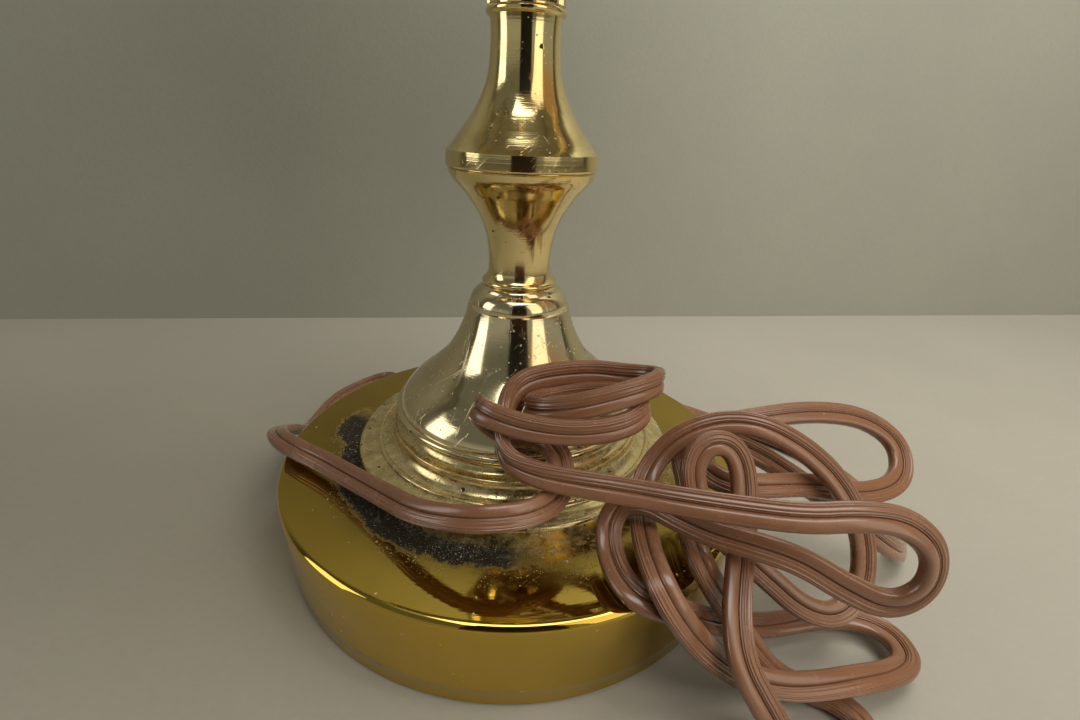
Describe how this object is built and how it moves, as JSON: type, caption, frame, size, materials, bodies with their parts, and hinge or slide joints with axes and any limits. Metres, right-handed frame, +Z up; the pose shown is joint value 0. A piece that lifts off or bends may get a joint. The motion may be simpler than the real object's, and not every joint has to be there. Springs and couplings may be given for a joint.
{
  "type": "bankers desk lamp",
  "caption": "Brass bankers lamp with a green glass trough shade that tilts, a pull-chain socket and a brown flat twin cord bundled beside its stem.",
  "frame": {"origin": "centre of the base on the table", "axes": "+Z up, front is -Y, +X to the right"},
  "size_m": [0.2674, 0.1954, 0.368],
  "materials": {
    "gold_brass": "polished olive gold, mirror-like, with a black tarnish ring round the foot",
    "dusty_brass": "polished but dusty and pitted in the coves",
    "pale_brass": "pale champagne lacquer with fine scratches",
    "lacquered_brass": "lacquered, polished, with specks",
    "cast_weight": "rough cast",
    "felt": "short green felt",
    "zinc_steel": "zinc plated",
    "cased_glass": "green cased glass outside, opal white inside, glossy",
    "fibre_paper": "pressed fibre paper, matt",
    "black_phenolic": "moulded phenolic, satin",
    "spring_brass": "bare rolled brass",
    "bulb_glass": "clear",
    "black_glass": "black glass insulator, glossy",
    "nickel_cap": "rolled aluminium, satin",
    "solder": "dull metal",
    "brown_vinyl": "brown vinyl, satin, one conductor finely ribbed",
    "wire_vinyl": "thin vinyl insulation, satin"
  },
  "bodies": {
    "root": {"base_shell": "gold_brass", "base_weight": "cast_weight", "felt_pad": "felt", "lamp_pipe": "zinc_steel", "pipe_washer": "zinc_steel", "pipe_nut": "zinc_steel", "foot_flange": "dusty_brass", "bell": "pale_brass", "lower_spindle": "lacquered_brass", "upper_spindle": "lacquered_brass", "reeded_collar": "lacquered_brass", "upper_vase": "lacquered_brass", "yoke": "lacquered_brass", "socket_cap": "lacquered_brass", "socket_shell": "lacquered_brass", "insulating_liner": "fibre_paper", "socket_core": "black_phenolic", "lever_pin": "zinc_steel", "return_leaf": "spring_brass", "terminal_screws": "zinc_steel", "screw_shell": "spring_brass", "centre_contact": "spring_brass", "chain_spout": "lacquered_brass", "bulb_glass": "bulb_glass", "bulb_cap": "nickel_cap", "bulb_insulator": "black_glass", "bulb_tip": "solder", "filament_stem": "bulb_glass", "filament": "solder", "cord_bushing": "brown_vinyl", "wire_live": "wire_vinyl", "wire_neutral": "wire_vinyl", "cord_lead": "brown_vinyl", "cord_run": "brown_vinyl", "cord_low": "brown_vinyl", "cord_arch": "brown_vinyl", "cord_fold": "brown_vinyl", "cord_tail": "brown_vinyl", "cord_hank": "brown_vinyl", "plug_body": "brown_vinyl", "plug_blades": "spring_brass", "fibre_washer_left": "fibre_paper", "fibre_washer_right": "fibre_paper"},
    "shade": {"shade_glass": "cased_glass", "ferrule_left": "lacquered_brass", "ring_nut_left": "lacquered_brass", "ferrule_right": "lacquered_brass", "ring_nut_right": "lacquered_brass"},
    "thumbscrew_left": {"thumbscrew_left": "lacquered_brass"},
    "thumbscrew_right": {"thumbscrew_right": "lacquered_brass"},
    "chain": {"pull_chain": "spring_brass", "chain_drop": "lacquered_brass"},
    "lever": {"switch_lever": "fibre_paper"}
  },
  "joints": [
    {"name": "shade_tilt", "type": "hinge", "parent": "root", "child": "shade", "pos_m": [0, 0, 0.298], "axis": [1, 0, 0], "range_deg": [-30, 30]},
    {"name": "thumbscrew_left_turn", "type": "hinge", "parent": "root", "child": "thumbscrew_left", "pos_m": [-0.12, 0, 0.298], "axis": [-1, 0, 0], "range_deg": [0, 360]},
    {"name": "thumbscrew_right_turn", "type": "hinge", "parent": "root", "child": "thumbscrew_right", "pos_m": [0.12, 0, 0.298], "axis": [1, 0, 0], "range_deg": [0, 360]},
    {"name": "chain_pull", "type": "slide", "parent": "root", "child": "chain", "axis": [0, 0, -1], "range_m": [0, 0.008], "stiffness_N_per_m": 300},
    {"name": "lever_turn", "type": "hinge", "parent": "root", "child": "lever", "pos_m": [0, -0.008, 0.244], "axis": [1, 0, 0], "range_deg": [0, 51]}
  ],
  "couplings": [
    {"joint": "lever_turn", "follows": "chain_pull", "rad_per_m": 109.08}
  ]
}
